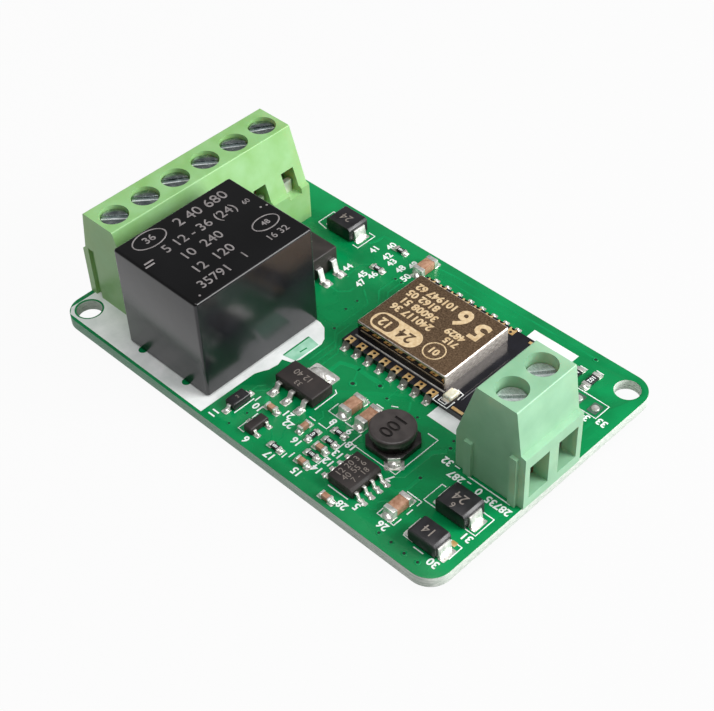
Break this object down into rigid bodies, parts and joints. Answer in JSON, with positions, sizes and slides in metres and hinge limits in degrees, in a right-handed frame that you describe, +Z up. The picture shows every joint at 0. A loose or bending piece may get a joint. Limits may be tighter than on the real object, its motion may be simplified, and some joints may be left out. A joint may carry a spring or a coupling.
{
  "type": "relay module",
  "caption": "Rectangular circuit board with a boxed relay, screw terminal blocks at both ends, a shielded radio module and a power supply; screws turn, wire clamps rise, the armature rocks.",
  "frame": {"origin": "middle of the board's underside, halfway between the two mounting holes", "axes": "+X along the board towards the two-pole power terminal, +Y across it away from the relay's edge, +Z up through the components"},
  "size_m": [0.0662, 0.041, 0.0188],
  "materials": {
    "solder_mask_green": "green solder mask on glass-fibre laminate, with white print",
    "terminal_green": "moulded green polyamide, satin",
    "zinc_steel": "zinc-plated steel, turned head with a sawn slot",
    "nickel_clamp": "nickel-plated pressed steel",
    "tinned_brass": "tin-plated brass strip",
    "relay_black": "black moulded polyester, semi-gloss",
    "soft_iron": "nickel-plated soft iron",
    "bobbin_plastic": "natural moulded polyester",
    "copper_wire": "enamelled copper wire, layer wound",
    "contact_alloy": "phosphor bronze strip with silver alloy contacts",
    "module_black": "black solder mask on glass-fibre laminate",
    "gold_pad": "gold-plated copper pad",
    "solder_tin": "bright solder",
    "nickel_silver": "brushed nickel silver can",
    "chip_epoxy": "black moulded epoxy",
    "tinned_lead": "tin-plated lead frame",
    "led_lens": "cast clear epoxy over white ceramic",
    "ferrite": "pressed and fired ferrite",
    "inductor_coat": "magnetic resin coat over the winding",
    "capacitor_ceramic": "fired barium titanate ceramic",
    "resistor_ceramic": "black glass over white alumina"
  },
  "bodies": {
    "root": {"circuit_board": "solder_mask_green", "board_solder_joints": "solder_tin", "output_terminal_housing": "terminal_green", "output_terminal_pins": "tinned_brass", "power_terminal_housing": "terminal_green", "power_terminal_pins": "tinned_brass", "relay_cover": "relay_black", "relay_base": "relay_black", "relay_yoke": "soft_iron", "relay_core": "soft_iron", "relay_bobbin": "bobbin_plastic", "relay_coil_winding": "copper_wire", "relay_coil_pins": "tinned_brass", "relay_open_contact": "contact_alloy", "relay_closed_contact": "contact_alloy", "relay_common_contact": "contact_alloy", "radio_board": "module_black", "radio_pads": "gold_pad", "radio_solder_joints": "solder_tin", "radio_shield": "nickel_silver", "radio_chips": "chip_epoxy", "radio_status_led": "led_lens", "converter_chip_body": "chip_epoxy", "converter_chip_leads": "tinned_lead", "regulator_body": "chip_epoxy", "regulator_leads": "tinned_lead", "transistor_body": "chip_epoxy", "transistor_leads": "tinned_lead", "opto_isolator_body": "chip_epoxy", "opto_isolator_leads": "tinned_lead", "inductor_core": "ferrite", "inductor_winding": "inductor_coat", "inductor_terminals": "solder_tin", "rectifier_diode_body": "chip_epoxy", "surge_diode_body_1": "chip_epoxy", "surge_diode_body_2": "chip_epoxy", "signal_diode_body": "chip_epoxy", "diode_leads": "tinned_lead", "capacitor_bodies": "capacitor_ceramic", "capacitor_ends": "solder_tin", "resistor_bodies": "resistor_ceramic", "resistor_ends": "solder_tin"},
    "output_screw_1": {"output_clamp_screw_1": "zinc_steel"},
    "output_clamp_1": {"output_wire_clamp_1": "nickel_clamp"},
    "output_screw_2": {"output_clamp_screw_2": "zinc_steel"},
    "output_clamp_2": {"output_wire_clamp_2": "nickel_clamp"},
    "output_screw_3": {"output_clamp_screw_3": "zinc_steel"},
    "output_clamp_3": {"output_wire_clamp_3": "nickel_clamp"},
    "output_screw_4": {"output_clamp_screw_4": "zinc_steel"},
    "output_clamp_4": {"output_wire_clamp_4": "nickel_clamp"},
    "output_screw_5": {"output_clamp_screw_5": "zinc_steel"},
    "output_clamp_5": {"output_wire_clamp_5": "nickel_clamp"},
    "output_screw_6": {"output_clamp_screw_6": "zinc_steel"},
    "output_clamp_6": {"output_wire_clamp_6": "nickel_clamp"},
    "power_screw_1": {"power_clamp_screw_1": "zinc_steel"},
    "power_clamp_1": {"power_wire_clamp_1": "nickel_clamp"},
    "power_screw_2": {"power_clamp_screw_2": "zinc_steel"},
    "power_clamp_2": {"power_wire_clamp_2": "nickel_clamp"},
    "relay_contact_arm": {"relay_armature": "soft_iron", "relay_moving_contact_spring": "contact_alloy"}
  },
  "joints": [
    {"name": "output_screw_1_turn", "type": "hinge", "parent": "root", "child": "output_screw_1", "pos_m": [-0.02831, 0.0127, 0.014], "axis": [0, 0, -1], "range_deg": [0, 2304]},
    {"name": "output_clamp_1_rise", "type": "slide", "parent": "root", "child": "output_clamp_1", "axis": [0, 0, 1], "range_m": [0, 0.0032]},
    {"name": "output_screw_2_turn", "type": "hinge", "parent": "root", "child": "output_screw_2", "pos_m": [-0.02831, 0.00762, 0.014], "axis": [0, 0, -1], "range_deg": [0, 2304]},
    {"name": "output_clamp_2_rise", "type": "slide", "parent": "root", "child": "output_clamp_2", "axis": [0, 0, 1], "range_m": [0, 0.0032]},
    {"name": "output_screw_3_turn", "type": "hinge", "parent": "root", "child": "output_screw_3", "pos_m": [-0.02831, 0.00254, 0.014], "axis": [0, 0, -1], "range_deg": [0, 2304]},
    {"name": "output_clamp_3_rise", "type": "slide", "parent": "root", "child": "output_clamp_3", "axis": [0, 0, 1], "range_m": [0, 0.0032]},
    {"name": "output_screw_4_turn", "type": "hinge", "parent": "root", "child": "output_screw_4", "pos_m": [-0.02831, -0.00254, 0.014], "axis": [0, 0, -1], "range_deg": [0, 2304]},
    {"name": "output_clamp_4_rise", "type": "slide", "parent": "root", "child": "output_clamp_4", "axis": [0, 0, 1], "range_m": [0, 0.0032]},
    {"name": "output_screw_5_turn", "type": "hinge", "parent": "root", "child": "output_screw_5", "pos_m": [-0.02831, -0.00762, 0.014], "axis": [0, 0, -1], "range_deg": [0, 2304]},
    {"name": "output_clamp_5_rise", "type": "slide", "parent": "root", "child": "output_clamp_5", "axis": [0, 0, 1], "range_m": [0, 0.0032]},
    {"name": "output_screw_6_turn", "type": "hinge", "parent": "root", "child": "output_screw_6", "pos_m": [-0.02831, -0.0127, 0.014], "axis": [0, 0, -1], "range_deg": [0, 2304]},
    {"name": "output_clamp_6_rise", "type": "slide", "parent": "root", "child": "output_clamp_6", "axis": [0, 0, 1], "range_m": [0, 0.0032]},
    {"name": "power_screw_1_turn", "type": "hinge", "parent": "root", "child": "power_screw_1", "pos_m": [0.02874, -0.00286, 0.014], "axis": [0, 0, -1], "range_deg": [0, 2304]},
    {"name": "power_clamp_1_rise", "type": "slide", "parent": "root", "child": "power_clamp_1", "axis": [0, 0, 1], "range_m": [0, 0.0032]},
    {"name": "power_screw_2_turn", "type": "hinge", "parent": "root", "child": "power_screw_2", "pos_m": [0.02874, 0.00222, 0.014], "axis": [0, 0, -1], "range_deg": [0, 2304]},
    {"name": "power_clamp_2_rise", "type": "slide", "parent": "root", "child": "power_clamp_2", "axis": [0, 0, 1], "range_m": [0, 0.0032]},
    {"name": "relay_armature_pull_in", "type": "hinge", "parent": "root", "child": "relay_contact_arm", "pos_m": [-0.01411, -0.00185, 0.01245], "axis": [1, 0, 0], "range_deg": [0, 3.4], "stiffness_Nm_per_rad": 0.005, "springref_deg": -5.73}
  ],
  "couplings": [
    {"joint": "output_screw_1_turn", "follows": "output_clamp_1_rise", "rad_per_m": 12566},
    {"joint": "output_screw_2_turn", "follows": "output_clamp_2_rise", "rad_per_m": 12566},
    {"joint": "output_screw_3_turn", "follows": "output_clamp_3_rise", "rad_per_m": 12566},
    {"joint": "output_screw_4_turn", "follows": "output_clamp_4_rise", "rad_per_m": 12566},
    {"joint": "output_screw_5_turn", "follows": "output_clamp_5_rise", "rad_per_m": 12566},
    {"joint": "output_screw_6_turn", "follows": "output_clamp_6_rise", "rad_per_m": 12566},
    {"joint": "power_screw_1_turn", "follows": "power_clamp_1_rise", "rad_per_m": 12566},
    {"joint": "power_screw_2_turn", "follows": "power_clamp_2_rise", "rad_per_m": 12566}
  ]
}
